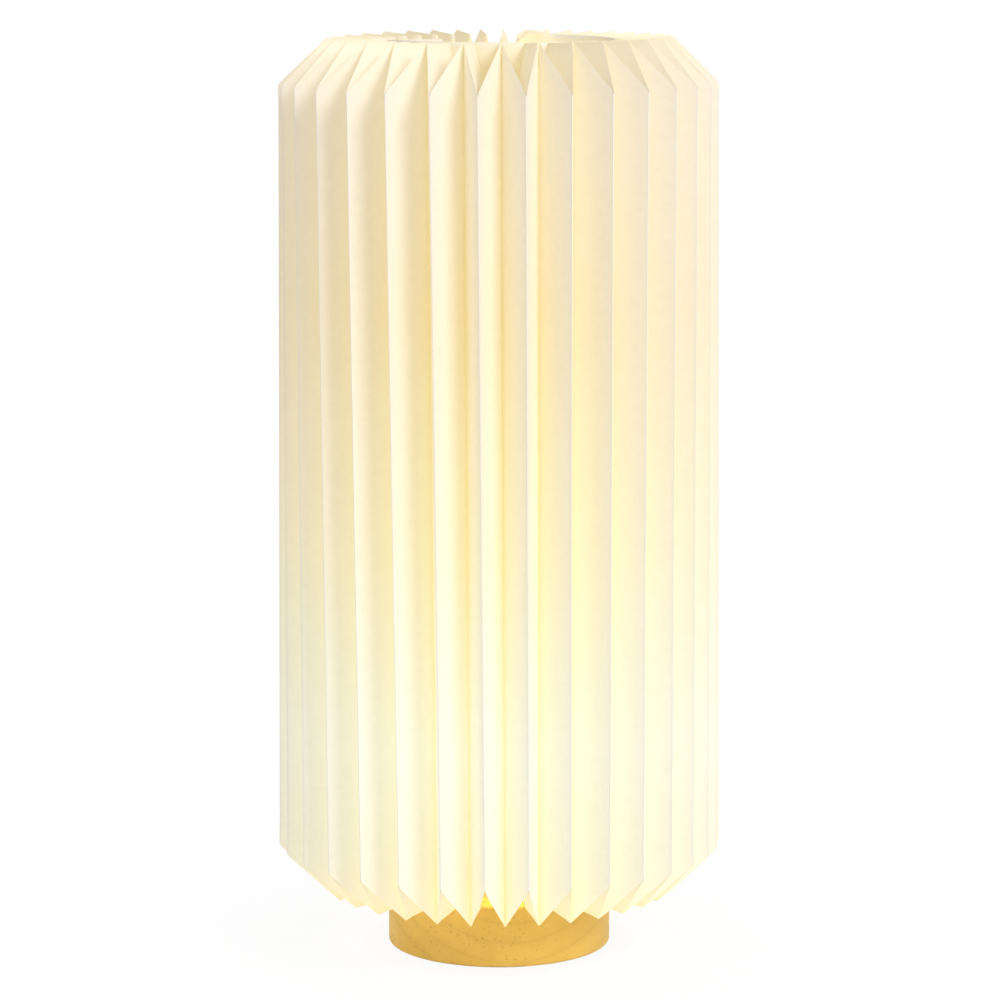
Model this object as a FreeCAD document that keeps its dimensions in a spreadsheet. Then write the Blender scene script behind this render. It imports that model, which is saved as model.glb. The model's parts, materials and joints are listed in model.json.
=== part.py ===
"""Table lamp with a tall pleated paper shade on a turned wooden base.

Units are millimetres. The origin is the centre of the foot, +Z is up, and the lamp's front faces -Y.
Driving dimensions are in the sheet; every sub-part reads its sizes from it.
"""

import FreeCAD, Part
import math
import os

import Sketcher
from FreeCAD import Vector

DIMENSIONS = {
    # foot and turned wooden base
    "foot_thickness": 0.8,
    "foot_radius": 46.0,
    "wood_radius": 50.0,
    "wood_top": 28.4,
    "wood_bottom_round": 1.6,
    "wood_top_round": 1.0,
    "recess_radius": 38.0,
    "recess_ceiling": 15.0,
    "rebate_radius": 44.2,
    "rebate_top": 2.6,
    "stem_hole_radius": 5.2,
    "cord_hole_radius": 4.1,
    "cord_hole_start": 30.0,
    "cord_hole_length": 30.0,
    "cord_axis_height": 9.0,
    # ballast and bottom cover
    "ballast_radius": 37.0,
    "ballast_bore": 12.0,
    "ballast_bottom": 7.0,
    "ballast_slot_half": 6.5,
    "ballast_slot_start": 2.0,
    "cover_radius": 44.0,
    "cover_top": 2.5,
    "ballast_screw_ring": 25.0,
    "ballast_screw_shank": 1.75,
    "ballast_screw_head": 3.5,
    "ballast_screw_head_height": 2.2,
    "ballast_screw_top": 22.0,
    "cover_screw_ring": 41.2,
    "cover_screw_shank": 1.3,
    "cover_screw_head": 2.5,
    "cover_screw_top": 14.0,
    "screw_clearance": 0.1,
    "pilot_clearance": 0.05,
    "pilot_end": 0.5,
    "cut_past": 1.0,
    # rubber grommet that lines the cord inlet
    "grommet_bore": 3.0,
    "grommet_barrel": 4.0,
    "grommet_inner_flange": 5.2,
    "grommet_outer_flange": 6.0,
    "grommet_start": 36.0,
    "grommet_wall_start": 37.5,
    "grommet_wall_end": 50.1,
    "grommet_end": 51.6,
    "grommet_rim_round": 0.7,
    # threaded stem, its washer and nuts
    "stem_radius": 5.0,
    "stem_bore": 3.5,
    "stem_clearance": 0.05,
    "nut_clearance": 0.02,
    "stem_bottom": 8.2,
    "stem_top": 35.8,
    "washer_radius": 9.0,
    "washer_bottom": 13.8,
    "lower_nut_corner": 8.1,
    "lower_nut_bottom": 9.3,
    "upper_nut_corner": 7.5,
    "upper_nut_height": 3.4,
    # lampholder
    "holder_radius": 19.4,
    "holder_cap_foot": 16.0,
    "holder_cap_shoulder": 32.8,
    "holder_cap_top": 42.3,
    "holder_cap_wall": 2.0,
    "holder_cap_step": 1.0,
    "holder_cap_floor": 30.8,
    "holder_flange_radius": 22.6,
    "holder_flange_top": 43.9,
    "holder_bore": 15.4,
    "holder_lip_bore": 14.0,
    "holder_lip_bottom": 71.8,
    "holder_top": 73.8,
    "insulator_radius": 15.2,
    "insulator_flange_radius": 17.2,
    "insulator_bottom": 40.2,
    "insulator_top": 48.8,
    "insulator_hole": 1.7,
    "shell_crest": 13.9,
    "shell_root": 13.3,
    "shell_wall": 0.4,
    "shell_bottom": 48.8,
    "thread_start": 53.77,
    "thread_pitch": 3.629,
    "leaf_start": 9.0,
    "leaf_half_width": 3.0,
    "leaf_length": 13.0,
    "leaf_thickness": 0.5,
    "leaf_rise": 2.6,
    "side_leaf_start": 8.0,
    "side_leaf_length": 4.0,
    "side_leaf_half_width": 2.0,
    "side_tab_start": 12.0,
    "side_tab_height": 3.6,
    "terminal_ring": 9.0,
    "terminal_screw_radius": 1.6,
    "terminal_head_radius": 2.9,
    "terminal_screw_length": 7.0,
    "terminal_head_height": 1.8,
    # ring that clamps the shade carrier on the holder, and the carrier's wire arms
    "ring_bore": 19.45,
    "ring_clearance": 0.05,
    "ring_radius": 24.5,
    "ring_height": 7.0,
    "ring_lip_radius": 27.0,
    "ring_lip_height": 1.6,
    "ring_lip_slope": 1.0,
    "carrier_bore": 19.8,
    "carrier_radius": 29.0,
    "carrier_thickness": 1.5,
    "arm_wire_radius": 1.0,
    "arm_bite": 0.35,
    "arm_start": 23.2,
    "arm_end": 92.0,
    # golf-ball lamp bulb
    "bulb_centre": 101.8,
    "globe_radius": 22.5,
    "globe_wall": 1.2,
    "globe_cut": 93.8,
    "housing_bottom": 74.8,
    "housing_bottom_radius": 13.2,
    "housing_wall": 1.4,
    "cap_tip": 52.1,
    "cap_tip_radius": 4.4,
    "cap_tip_flat": 3.0,
    "cap_tip_slope": 0.6,
    "cap_tip_height": 1.4,
    "cap_glass_top": 56.8,
    "cap_glass_radius": 9.5,
    "cap_thread_start": 57.4,
    "cap_crest": 13.1,
    "cap_root": 12.3,
    "cap_wall": 0.4,
    "led_board_radius": 18.6,
    "led_board_thickness": 1.6,
    "driver_board_half_width": 7.5,
    "driver_board_half_thickness": 0.8,
    "driver_board_bottom": 61.8,
    "driver_board_top": 89.8,
    # folded paper shade, measured on the middle of the sheet
    "pleat_count": 35,
    "ridge_radius": 99.4,
    "valley_radius": 77.7,
    "shade_bottom": 27.4,
    "shade_top": 408.4,
    "corner_drop": 21.3,
    "mouth_valley_radius": 52.8,
    "mouth_valley_drop": 1.2,
    "mouth_ridge_radius": 54.1,
    "mouth_ridge_drop": 24.5,
    "paper_thickness": 0.35,
    "top_share": 0.974,
    "pleat_turn": -0.053,
    "first_pleat": 0.5,
    # paper band glued inside the top mouth, which keeps the folds spaced
    "band_radius": 51.3,
    "band_thickness": 0.3,
    "band_height": 22.0,
    "band_top_gap": 0.1,
    "band_start": -150.0,
    "band_sweep": 322.0,
    # glued joint of the paper, at the back
    "tape_margin": 4.0,
    "tape_end_gap": 26.0,
    "tape_gap": 0.06,
}

# The pleats aren't spaced evenly: (amount in radians, waves round the shade, phase) of each drift.
TOP_DRIFTS = ((0.169, 1, 0.306), (-0.025, 2, -0.501), (0.017, 3, 0.144))
BOTTOM_DRIFTS = ((0.107, 1, 0.954),)
ARM_PLEATS = (5, 17, 29)
SEAM_PLEAT = 17
THREAD_TURNS = 4
CREST_SHARES = (0.15, 0.35)
ROOT_SHARES = (0.65, 0.85)
COVER_SCREW_AZIMUTHS = (30.0, 150.0, 270.0)
BALLAST_SCREW_AZIMUTHS = (0.0, 180.0)
SIDES = ("0 + ", "0 - ")
TOUCHING = 1e-6
OFFSET_STIFFNESS = 1e-3

doc = FreeCAD.newDocument("pleated_paper_lamp")
sheet = doc.addObject("Spreadsheet::Sheet", "Sizes")
for row, (alias, number) in enumerate(DIMENSIONS.items(), start=1):
    sheet.set("A%d" % row, alias)
    sheet.set("B%d" % row, str(number))
    sheet.setAlias("B%d" % row, alias)
doc.recompute()

nodes = []


def value(text):
    """Number that a sum of dimensions, such as 'wood_top - foot_thickness', stands for."""
    total = 0.0
    sign = 1.0
    for word in text.split():
        if word in "+-":
            sign = 1.0 if word == "+" else -1.0
        else:
            total += sign * (getattr(sheet, word) if word in DIMENSIONS else float(word))
    return total


def bound(text):
    """The same sum as an expression that reads the sheet."""
    return " ".join("Sizes." + word if word in DIMENSIONS else word for word in text.split())


def bind(item, **sizes):
    """Bind properties of an object to sums of dimensions."""
    for name, text in sizes.items():
        item.setExpression(name, bound(text))
    return item


def place(item, x="0", y="0", z="0", rotation=None):
    """Put an object at a point given by sums of dimensions, turned if asked."""
    item.Placement = FreeCAD.Placement(
        Vector(value(x), value(y), value(z)), rotation or FreeCAD.Rotation()
    )
    for axis, text in (("x", x), ("y", y), ("z", z)):
        if text != "0":
            item.setExpression("Placement.Base." + axis, bound(text))
    return item


def node(item, label):
    """Register the finished sub-part under its own name."""
    item.Label = label
    nodes.append(item)
    return item


def plane_of(body, role):
    """One of a body's own origin planes."""
    return next(f for f in body.Origin.OriginFeatures if f.Role == role)


def turned(name, profile):
    """Body revolved about Z from a closed outline of (radius, height) sums."""
    body = doc.addObject("PartDesign::Body", name + "_turning")
    sketch = body.newObject("Sketcher::SketchObject", name + "_outline")
    sketch.AttachmentSupport = (plane_of(body, "XZ_Plane"), [""])
    sketch.MapMode = "FlatFace"
    points = [Vector(value(r), value(z), 0) for r, z in profile]
    count = len(points)
    for i in range(count):
        sketch.addGeometry(Part.LineSegment(points[i], points[(i + 1) % count]), False)
    constraint = Sketcher.Constraint
    for i in range(count):
        sketch.addConstraint(constraint("Coincident", i, 2, (i + 1) % count, 1))
    for i, (r, z) in enumerate(profile):
        for kind, text, axis in (("DistanceX", r, -2), ("DistanceY", z, -1)):
            if value(text) == 0:
                sketch.addConstraint(constraint("PointOnObject", i, 1, axis))
            else:
                at = sketch.addConstraint(constraint(kind, -1, 1, i, 1, value(text)))
                sketch.setExpression("Constraints[%d]" % at, bound(text))
    turning = body.newObject("PartDesign::Revolution", name + "_revolution")
    turning.Profile = sketch
    turning.ReferenceAxis = (sketch, ["V_Axis"])
    turning.Angle = 360
    sketch.Visibility = False
    doc.recompute()
    return body


def round_rims(body, name, radius, height, size):
    """Round the circular edge of a turned body that lies at a radius and height."""
    before = body.Tip
    edges = []
    for index, edge in enumerate(before.Shape.Edges, start=1):
        curve = edge.Curve
        if not isinstance(curve, Part.Circle):
            continue
        if abs(curve.Radius - value(radius)) < TOUCHING and abs(curve.Center.z - value(height)) < TOUCHING:
            edges.append("Edge%d" % index)
    rounding = body.newObject("PartDesign::Fillet", name)
    rounding.Base = (before, edges)
    bind(rounding, Radius=size)
    doc.recompute()


def cylinder(name, radius, height, x="0", y="0", z="0", rotation=None):
    """Cylinder standing on a point, along Z unless turned."""
    item = doc.addObject("Part::Cylinder", name)
    bind(item, Radius=radius, Height=height)
    return place(item, x, y, z, rotation)


def block(name, length, width, height, x, y, z):
    """Box from its lowest corner."""
    item = doc.addObject("Part::Box", name)
    bind(item, Length=length, Width=width, Height=height)
    return place(item, x, y, z)


def fused(name, parts):
    """Union of several solids."""
    item = doc.addObject("Part::MultiFuse", name)
    item.Shapes = parts
    item.Refine = True
    return item


def cut(name, base, tools):
    """A solid with one or more others taken out of it."""
    item = doc.addObject("Part::Cut", name)
    item.Base = base
    item.Tool = tools[0] if len(tools) == 1 else fused(name + "_tools", tools)
    return item


def grouped(name, parts):
    """Identical fasteners kept together as separate solids."""
    item = doc.addObject("Part::Compound", name)
    item.Links = parts
    return item


def around(item, azimuth):
    """Turn a finished object about the lamp's axis, azimuth 0 being +X."""
    turn = FreeCAD.Placement(Vector(), FreeCAD.Rotation(Vector(0, 0, 1), azimuth))
    item.Placement = turn.multiply(item.Placement)
    return item


def hex_nut(label, corner, height, z, bore):
    """Hexagonal nut with a plain bore."""
    prism = doc.addObject("Part::Prism", label + "_hexagon")
    prism.Polygon = 6
    bind(prism, Circumradius=corner, Height=height)
    place(prism, z=z)
    hole = cylinder(label + "_bore", bore, height, z=z)
    return node(cut(label, prism, [hole]), label)


# ---------------------------------------------------------------- wooden base


def pilot_holes(ring, shank, top, face, azimuths):
    """Cutters for the blind holes of wood screws that go up from a face."""
    cutters = []
    depth = top + " + pilot_end - " + face + " + cut_past"
    for azimuth in azimuths:
        pilot = cylinder("pilot", shank + " + pilot_clearance", depth)
        pilot.Placement.Base = Vector(value(ring), 0, value(face + " - cut_past"))
        cutters.append(around(pilot, azimuth))
    return cutters


def wooden_base():
    """Turned disc with a recess below, a stem hole, a cord hole and pilot holes."""
    body = turned(
        "wood",
        [
            ("rebate_radius", "foot_thickness"),
            ("wood_radius", "foot_thickness"),
            ("wood_radius", "wood_top"),
            ("stem_hole_radius", "wood_top"),
            ("stem_hole_radius", "recess_ceiling"),
            ("recess_radius", "recess_ceiling"),
            ("recess_radius", "rebate_top"),
            ("rebate_radius", "rebate_top"),
        ],
    )
    round_rims(body, "wood_foot_round", "wood_radius", "foot_thickness", "wood_bottom_round")
    round_rims(body, "wood_shoulder_round", "wood_radius", "wood_top", "wood_top_round")
    towards_back = FreeCAD.Rotation(Vector(1, 0, 0), -90)
    cord_hole = cylinder("cord_hole", "cord_hole_radius", "cord_hole_length",
                         y="cord_hole_start", z="cord_axis_height", rotation=towards_back)
    tools = [cord_hole]
    tools += pilot_holes("ballast_screw_ring", "ballast_screw_shank", "ballast_screw_top", "recess_ceiling",
                         BALLAST_SCREW_AZIMUTHS)
    tools += pilot_holes("cover_screw_ring", "cover_screw_shank", "cover_screw_top", "rebate_top",
                         COVER_SCREW_AZIMUTHS)
    node(cut("wood_base", body, tools), "wood_base")


def ballast():
    """Steel disc in the recess, slotted at the back for the cord's way in."""
    disc = turned(
        "ballast",
        [
            ("ballast_bore", "ballast_bottom"),
            ("ballast_radius", "ballast_bottom"),
            ("ballast_radius", "recess_ceiling"),
            ("ballast_bore", "recess_ceiling"),
        ],
    )
    slot = block("ballast_slot", "ballast_slot_half + ballast_slot_half", "ballast_radius", "recess_ceiling",
                 "0 - ballast_slot_half", "ballast_slot_start", "0")
    holes = []
    for azimuth in BALLAST_SCREW_AZIMUTHS:
        hole = cylinder("ballast_hole", "ballast_screw_shank + screw_clearance", "recess_ceiling")
        hole.Placement.Base = Vector(value("ballast_screw_ring"), 0, 0)
        holes.append(around(hole, azimuth))
    node(cut("base_weight", disc, [slot] + holes), "base_weight")


def ballast_screws():
    """Two pan-head wood screws that hold the ballast."""
    screws = []
    for azimuth in BALLAST_SCREW_AZIMUTHS:
        head = cylinder("ballast_screw_cap", "ballast_screw_head", "ballast_screw_head_height",
                        z="ballast_bottom - ballast_screw_head_height")
        shank = cylinder("ballast_screw_stem", "ballast_screw_shank",
                         "ballast_screw_top - ballast_bottom", z="ballast_bottom")
        for item in (head, shank):
            item.Placement.Base = Vector(value("ballast_screw_ring"), 0, item.Placement.Base.z)
            around(item, azimuth)
        screws.append(fused("ballast_screw", [head, shank]))
    node(grouped("weight_screws", screws), "weight_screws")


def cover_cone(name, clearance):
    """Countersunk head of a cover screw, flush with the cover's underside."""
    cone = doc.addObject("Part::Cone", name)
    bind(cone, Radius1="cover_screw_head + " + clearance, Radius2="cover_screw_shank + " + clearance,
         Height="cover_top - foot_thickness")
    cone.Placement.Base = Vector(value("cover_screw_ring"), 0, value("foot_thickness"))
    return cone


def bottom_cover():
    """Thin steel disc that closes the recess."""
    disc = turned(
        "cover",
        [
            ("0", "foot_thickness"),
            ("cover_radius", "foot_thickness"),
            ("cover_radius", "cover_top"),
            ("0", "cover_top"),
        ],
    )
    sinks = [
        around(cover_cone("cover_sink", "screw_clearance"), azimuth)
        for azimuth in COVER_SCREW_AZIMUTHS
    ]
    node(cut("bottom_cover", disc, sinks), "bottom_cover")


def cover_screws():
    """Three countersunk wood screws through the bottom cover."""
    screws = []
    for azimuth in COVER_SCREW_AZIMUTHS:
        head = cover_cone("cover_screw_cone", "0")
        shank = cylinder("cover_screw_stem", "cover_screw_shank", "cover_screw_top - cover_top",
                         z="cover_top")
        shank.Placement.Base = Vector(value("cover_screw_ring"), 0, value("cover_top"))
        around(head, azimuth)
        around(shank, azimuth)
        screws.append(fused("cover_screw", [head, shank]))
    node(grouped("cover_screws", screws), "cover_screws")


def foot_pad():
    """Felt disc under the base."""
    node(cylinder("foot_pad", "foot_radius", "foot_thickness"), "foot_pad")


def cord_grommet():
    """Rubber bush with two flanges that lines the cord inlet at the back."""
    body = turned(
        "grommet",
        [
            ("grommet_bore", "grommet_start"),
            ("grommet_inner_flange", "grommet_start"),
            ("grommet_inner_flange", "grommet_wall_start"),
            ("grommet_barrel", "grommet_wall_start"),
            ("grommet_barrel", "grommet_wall_end"),
            ("grommet_outer_flange", "grommet_wall_end"),
            ("grommet_outer_flange", "grommet_end"),
            ("grommet_bore", "grommet_end"),
        ],
    )
    round_rims(body, "grommet_rim", "grommet_outer_flange", "grommet_end", "grommet_rim_round")
    towards_back = FreeCAD.Rotation(Vector(1, 0, 0), -90)
    place(body, z="cord_axis_height", rotation=towards_back)
    node(body, "cord_grommet")


def stem_parts():
    """Threaded stem that holds the lampholder on the base, with washer and nuts."""
    node(
        turned(
            "stem",
            [
                ("stem_bore", "stem_bottom"),
                ("stem_radius", "stem_bottom"),
                ("stem_radius", "stem_top"),
                ("stem_bore", "stem_top"),
            ],
        ),
        "threaded_stem",
    )
    node(
        turned(
            "washer",
            [
                ("stem_radius + stem_clearance", "washer_bottom"),
                ("washer_radius", "washer_bottom"),
                ("washer_radius", "recess_ceiling"),
                ("stem_radius + stem_clearance", "recess_ceiling"),
            ],
        ),
        "stem_washer",
    )
    hex_nut("lower_stem_nut", "lower_nut_corner", "washer_bottom - lower_nut_bottom",
            "lower_nut_bottom", "stem_radius + nut_clearance")
    hex_nut("upper_stem_nut", "upper_nut_corner", "upper_nut_height",
            "holder_cap_floor", "stem_radius + nut_clearance")


# ---------------------------------------------------------------- lampholder


def threaded_outline(crest, root, start, turns):
    """Points of a rounded screw profile going up, two for each crest and root."""
    points = []
    profile = [(crest, share) for share in CREST_SHARES] + [(root, share) for share in ROOT_SHARES]
    for turn in range(turns):
        for radius, share in profile:
            lift = (turn + share) * value("thread_pitch")
            points.append((radius, start + " + %.4f" % lift))
    return points


def holder_parts():
    """Cap, body, insulator and contacts of the screw lampholder."""
    node(
        turned(
            "holder_cap",
            [
                ("stem_radius + stem_clearance", "wood_top"),
                ("holder_cap_foot", "wood_top"),
                ("holder_radius", "holder_cap_shoulder"),
                ("holder_radius", "holder_cap_top"),
                ("holder_radius - holder_cap_wall", "holder_cap_top"),
                ("holder_radius - holder_cap_wall", "holder_cap_shoulder + holder_cap_step"),
                ("holder_cap_foot - holder_cap_wall", "holder_cap_floor"),
                ("stem_radius + stem_clearance", "holder_cap_floor"),
            ],
        ),
        "holder_cap",
    )
    node(
        turned(
            "holder_body",
            [
                ("holder_bore", "holder_cap_top"),
                ("holder_flange_radius", "holder_cap_top"),
                ("holder_flange_radius", "holder_flange_top"),
                ("holder_radius", "holder_flange_top"),
                ("holder_radius", "holder_top"),
                ("holder_lip_bore", "holder_top"),
                ("holder_lip_bore", "holder_lip_bottom"),
                ("holder_bore", "holder_lip_bottom"),
            ],
        ),
        "holder_body",
    )
    disc = turned(
        "insulator",
        [
            ("0", "insulator_bottom"),
            ("insulator_flange_radius", "insulator_bottom"),
            ("insulator_flange_radius", "holder_cap_top"),
            ("insulator_radius", "holder_cap_top"),
            ("insulator_radius", "insulator_top"),
            ("0", "insulator_top"),
        ],
    )
    holes = [
        cylinder("terminal_hole", "insulator_hole", "terminal_screw_length", x=side + "terminal_ring",
                 z="insulator_bottom")
        for side in SIDES
    ]
    node(cut("holder_insulator", disc, holes), "holder_insulator")
    outside = threaded_outline("shell_crest + shell_wall", "shell_root + shell_wall", "thread_start",
                               THREAD_TURNS)
    inside = threaded_outline("shell_crest", "shell_root", "thread_start", THREAD_TURNS)
    node(
        turned(
            "screw_shell",
            [("shell_root", "shell_bottom"), ("shell_root + shell_wall", "shell_bottom")]
            + outside
            + [("shell_crest + shell_wall", "holder_lip_bottom"), ("shell_crest", "holder_lip_bottom")]
            + inside[::-1],
        ),
        "screw_shell",
    )


def holder_contacts():
    """Centre leaf spring, side leaf and the two terminal screws."""
    width = "leaf_half_width + leaf_half_width"
    corner = ("0 - leaf_start", "0 - leaf_half_width")
    foot = block("leaf_foot", "leaf_length", width, "leaf_thickness", *corner, "insulator_top")
    riser = block("leaf_riser", "leaf_thickness", width, "leaf_rise", *corner, "insulator_top")
    tongue = block("leaf_tongue", "leaf_length", width, "leaf_thickness", *corner,
                   "insulator_top + leaf_rise - leaf_thickness")
    node(fused("centre_contact", [foot, riser, tongue]), "centre_contact")
    width = "side_leaf_half_width + side_leaf_half_width"
    strip = block("side_leaf", "side_leaf_length", width, "leaf_thickness",
                  "side_leaf_start", "0 - side_leaf_half_width", "insulator_top")
    tab = block("side_tab", "leaf_thickness", width, "side_tab_height",
                "side_tab_start", "0 - side_leaf_half_width", "insulator_top")
    node(fused("side_contact", [strip, tab]), "side_contact")
    screws = []
    for side in SIDES:
        shank = cylinder("terminal_shank", "terminal_screw_radius", "terminal_screw_length",
                         x=side + "terminal_ring", z="insulator_bottom")
        head = cylinder("terminal_head", "terminal_head_radius", "terminal_head_height",
                        x=side + "terminal_ring", z="insulator_bottom - terminal_head_height")
        screws.append(fused("terminal_screw", [shank, head]))
    node(grouped("terminal_screws", screws), "terminal_screws")


def clamp_ring():
    """Threaded ring, turned by hand, that clamps the carrier on the holder's flange."""
    base = "holder_flange_top + carrier_thickness + ring_clearance"
    node(
        turned(
            "clamp_ring",
            [
                ("ring_bore", base),
                ("ring_lip_radius", base),
                ("ring_lip_radius", base + " + ring_lip_height"),
                ("ring_radius", base + " + ring_lip_height + ring_lip_slope"),
                ("ring_radius", base + " + ring_height"),
                ("ring_bore", base + " + ring_height"),
            ],
        ),
        "clamp_ring",
    )


# ---------------------------------------------------------------- bulb


def bulb_parts():
    """Golf-ball bulb: globe, housing, screw cap and what is inside them."""
    outer = doc.addObject("Part::Sphere", "globe_outside")
    bind(outer, Radius="globe_radius")
    place(outer, z="bulb_centre")
    inner = doc.addObject("Part::Sphere", "globe_inside")
    bind(inner, Radius="globe_radius - globe_wall")
    place(inner, z="bulb_centre")
    below = cylinder("globe_below", "globe_radius + cut_past", "globe_radius", z="globe_cut - globe_radius")
    node(cut("bulb_globe", outer, [inner, below]), "bulb_globe")
    rim = math.sqrt(value("globe_radius") ** 2 - value("bulb_centre - globe_cut") ** 2)
    rim_text = "%.3f" % rim
    node(
        turned(
            "housing",
            [
                ("housing_bottom_radius - housing_wall", "housing_bottom"),
                ("housing_bottom_radius", "housing_bottom"),
                (rim_text, "globe_cut"),
                (rim_text + " - housing_wall", "globe_cut"),
            ],
        ),
        "bulb_housing",
    )
    outside = threaded_outline("cap_crest", "cap_root", "cap_thread_start", THREAD_TURNS)
    inside = threaded_outline("cap_crest - cap_wall", "cap_root - cap_wall", "cap_thread_start",
                              THREAD_TURNS)
    node(
        turned(
            "cap_shell",
            [("cap_glass_radius - cap_wall", "cap_glass_top"), ("cap_glass_radius", "cap_glass_top")]
            + outside
            + [("cap_crest", "housing_bottom"), ("cap_crest - cap_wall", "housing_bottom")]
            + inside[::-1],
        ),
        "bulb_cap_shell",
    )
    node(
        turned(
            "cap_glass",
            [
                ("0", "cap_tip + cap_tip_height"),
                ("cap_tip_radius", "cap_tip + cap_tip_height"),
                ("cap_glass_radius", "cap_glass_top"),
                ("0", "cap_glass_top"),
            ],
        ),
        "bulb_cap_insulator",
    )
    node(
        turned(
            "cap_tip",
            [
                ("0", "cap_tip"),
                ("cap_tip_flat", "cap_tip"),
                ("cap_tip_radius", "cap_tip + cap_tip_slope"),
                ("cap_tip_radius", "cap_tip + cap_tip_height"),
                ("0", "cap_tip + cap_tip_height"),
            ],
        ),
        "bulb_tip_contact",
    )
    node(
        cylinder("bulb_led_board", "led_board_radius", "led_board_thickness",
                 z="globe_cut - led_board_thickness"),
        "bulb_led_board",
    )
    node(
        block("bulb_driver_board", "driver_board_half_width + driver_board_half_width",
              "driver_board_half_thickness + driver_board_half_thickness",
              "driver_board_top - driver_board_bottom",
              "0 - driver_board_half_width", "0 - driver_board_half_thickness", "driver_board_bottom"),
        "bulb_driver_board",
    )


# ---------------------------------------------------------------- paper shade


def pleat_angle(step, top):
    """Angle from the front of a crease, counted in pleats; the pleats bunch up here and there."""
    even = 2 * math.pi * (step + value("first_pleat")) / value("pleat_count")
    drifts = TOP_DRIFTS if top else BOTTOM_DRIFTS
    drift = sum(amount * math.sin(waves * even + phase) for amount, waves, phase in drifts)
    return even + drift + value("pleat_turn")


def on_lamp(radius, angle, height):
    """Point at a radius and height, at an angle from the front."""
    return Vector(radius * math.sin(angle), -radius * math.cos(angle), height)


def offset_in_plane(centre, neighbours, angle, half):
    """Half-thickness offset of a crease point, kept in the radial plane of its crease.

    neighbours holds pairs of points that make a facet with the centre. The facets on the
    other side mirror them, so two unknowns, radial and vertical, meet every facet's plane.
    A little stiffness keeps the offset short where the facets are nearly parallel.
    """
    outward = Vector(math.sin(angle), -math.cos(angle), 0)
    rr = rz = zz = br = bz = 0.0
    for first, second in neighbours:
        normal = (first - centre).cross(second - centre).normalize()
        nr = normal.dot(outward)
        nz = normal.z
        rr += nr * nr
        rz += nr * nz
        zz += nz * nz
        br += nr * half
        bz += nz * half
    stiffness = OFFSET_STIFFNESS * (rr + zz)
    rr += stiffness
    zz += stiffness
    spread = rr * zz - rz * rz
    dr = (br * zz - bz * rz) / spread
    dz = (bz * rr - br * rz) / spread
    return outward * dr + Vector(0, 0, dz)


def crease_points(step, ridge):
    """The four corner points of one crease line of the sheet, from the top mouth to the bottom one.

    The shade is a little narrower at the top.
    """
    radius = value("ridge_radius") if ridge else value("valley_radius")
    drop = value("corner_drop") if ridge else 0.0
    mouth_radius = value("mouth_ridge_radius") if ridge else value("mouth_valley_radius")
    mouth_drop = value("mouth_ridge_drop") if ridge else value("mouth_valley_drop")
    upper = pleat_angle(step, True)
    lower = pleat_angle(step, False)
    top = value("shade_top")
    bottom = value("shade_bottom")
    share = value("top_share")
    return [
        on_lamp(mouth_radius * share, upper, top - mouth_drop),
        on_lamp(radius * share, upper, top - drop),
        on_lamp(radius, lower, bottom + drop),
        on_lamp(mouth_radius, lower, bottom + mouth_drop),
    ]


def paper_facets(ridge, valley):
    """Triangles of one half pleat between a ridge column and a valley column, seen from outside.

    The valley column lies towards the greater angle. Past the corner crease the pleat is
    turned inside out, so the sheet bends there along the line from the valley's corner to
    the ridge column's end.
    """
    return [
        (ridge[0], ridge[1], valley[1]),
        (ridge[0], valley[1], valley[0]),
        (ridge[1], ridge[2], valley[1]),
        (ridge[2], valley[2], valley[1]),
        (ridge[2], ridge[3], valley[2]),
        (ridge[3], valley[3], valley[2]),
    ]


def crease_offsets(column, angles, facets_beside, half):
    """Offsets of the four points of a crease column."""
    offsets = []
    for index, centre in enumerate(column):
        pairs = []
        for triangle in facets_beside:
            at = next((i for i, p in enumerate(triangle) if p is centre), None)
            if at is not None:
                pairs.append((triangle[(at + 1) % 3], triangle[(at + 2) % 3]))
        offsets.append(offset_in_plane(centre, pairs, angles[index], half))
    return offsets


def mirrored(triangles):
    """The same triangles turned over, for the half pleat on a ridge's other side."""
    return [(a, c, b) for a, b, c in triangles]


def triangle_face(a, b, c):
    """Plane face on three points."""
    return Part.Face(Part.makePolygon([a, b, c, a]))


def closed_solid(faces):
    """Solid inside a set of faces that meet edge to edge."""
    shell = Part.makeShell(faces)
    shell.sewShape()
    solid = Part.makeSolid(shell)
    if solid.Volume < 0:
        solid.reverse()
    return solid


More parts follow.
